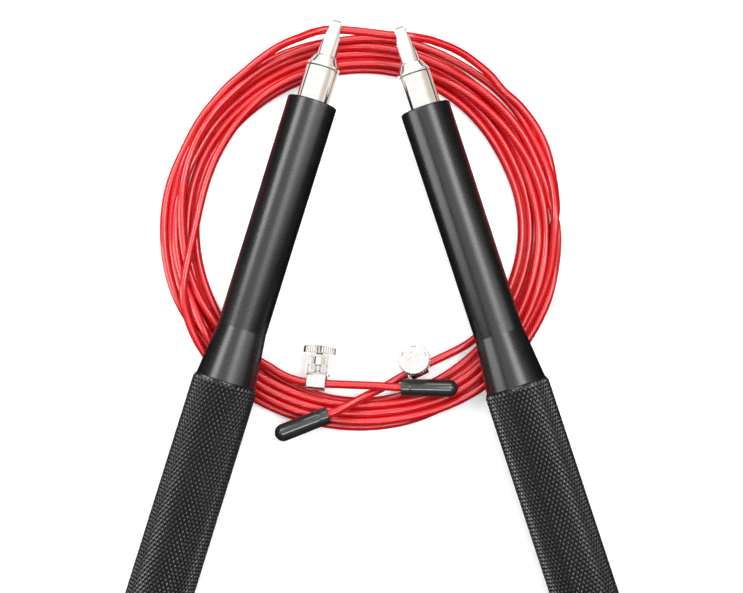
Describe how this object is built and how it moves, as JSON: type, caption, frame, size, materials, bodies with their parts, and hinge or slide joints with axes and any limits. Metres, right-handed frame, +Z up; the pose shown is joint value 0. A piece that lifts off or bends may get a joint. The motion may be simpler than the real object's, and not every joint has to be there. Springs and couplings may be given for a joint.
{
  "type": "jump rope",
  "caption": "Speed jump rope: slim handles with knurled grips turn on ball bearings, and a red coated cable, coiled, runs through their eyes, with screw clamps and capped ends.",
  "frame": {"origin": "on the surface that the rope lies on, under the middle of the box that holds the two handles", "axes": "+X across the two handles, towards the right one; +Y from the grip ends towards the tips; +Z up"},
  "size_m": [0.152, 0.1903, 0.0251],
  "materials": {
    "anodised_aluminium": "black anodised, knurled grip and satin barrel",
    "black_plastic": "moulded, matte",
    "nickel": "bright nickel plate",
    "bearing_steel": "ground steel",
    "cage_brass": "pressed brass",
    "red_coating": "glossy translucent coating over a twisted wire cable",
    "black_rubber": "semi-matte, moulded"
  },
  "bodies": {
    "rope": {"rope_coil": "red_coating", "rope_left_tail": "red_coating", "rope_right_tail": "red_coating", "rope_eye_stretch": "red_coating", "left_rope_cap": "black_rubber", "right_rope_cap": "black_rubber", "left_spindle": "nickel", "left_front_inner_race": "bearing_steel", "left_rear_inner_race": "bearing_steel", "left_bearing_spacer": "bearing_steel", "left_dust_shield": "bearing_steel", "left_lock_washer": "bearing_steel", "left_lock_nut": "bearing_steel", "right_spindle": "nickel", "right_front_inner_race": "bearing_steel", "right_rear_inner_race": "bearing_steel", "right_bearing_spacer": "bearing_steel", "right_dust_shield": "bearing_steel", "right_lock_washer": "bearing_steel", "right_lock_nut": "bearing_steel"},
    "left_handle": {"left_handle_body": "anodised_aluminium", "left_end_plug": "black_plastic", "left_bearing_sleeve": "nickel", "left_front_outer_race": "bearing_steel", "left_rear_outer_race": "bearing_steel"},
    "left_ball_cages": {"left_front_ball_cage": "cage_brass", "left_rear_ball_cage": "cage_brass"},
    "left_clamp": {"left_clamp_body": "nickel"},
    "left_screw": {"left_thumb_screw": "nickel"},
    "right_handle": {"right_handle_body": "anodised_aluminium", "right_end_plug": "black_plastic", "right_bearing_sleeve": "nickel", "right_front_outer_race": "bearing_steel", "right_rear_outer_race": "bearing_steel"},
    "right_ball_cages": {"right_front_ball_cage": "cage_brass", "right_rear_ball_cage": "cage_brass"},
    "right_clamp": {"right_clamp_body": "nickel"},
    "right_screw": {"right_thumb_screw": "nickel"}
  },
  "joints": [
    {"name": "left_handle_spin", "type": "hinge", "parent": "rope", "child": "left_handle", "pos_m": [-0.01717, 0.06936, 0.01739], "axis": [0.3012, 0.9525, 0.0454], "continuous": true},
    {"name": "left_cage_spin", "type": "hinge", "parent": "rope", "child": "left_ball_cages", "pos_m": [-0.01717, 0.06936, 0.01739], "axis": [0.3012, 0.9525, 0.0454], "continuous": true},
    {"name": "left_clamp_slide", "type": "slide", "parent": "rope", "child": "left_clamp", "axis": [0.9957, -0.0507, 0.0769], "range_m": [0, 0.01]},
    {"name": "left_screw_turn", "type": "hinge", "parent": "left_clamp", "child": "left_screw", "pos_m": [-0.01672, -0.01534, 0.00566], "axis": [0.1116, 0.9928, -0.0427], "range_deg": [0, 720]},
    {"name": "right_handle_spin", "type": "hinge", "parent": "rope", "child": "right_handle", "pos_m": [0.01717, 0.06716, 0.01739], "axis": [-0.3012, 0.9525, 0.0454], "continuous": true},
    {"name": "right_cage_spin", "type": "hinge", "parent": "rope", "child": "right_ball_cages", "pos_m": [0.01717, 0.06716, 0.01739], "axis": [-0.3012, 0.9525, 0.0454], "continuous": true},
    {"name": "right_clamp_slide", "type": "slide", "parent": "rope", "child": "right_clamp", "axis": [0.9042, 0.4271, 0], "range_m": [0, 0.008]},
    {"name": "right_screw_turn", "type": "hinge", "parent": "right_clamp", "child": "right_screw", "pos_m": [0.01425, -0.01153, 0.00312], "axis": [-0.1123, 0.2378, 0.9648], "range_deg": [0, 720]}
  ],
  "couplings": [
    {"joint": "left_cage_spin", "follows": "left_handle_spin", "ratio": 0.5955},
    {"joint": "right_cage_spin", "follows": "right_handle_spin", "ratio": 0.5955}
  ]
}
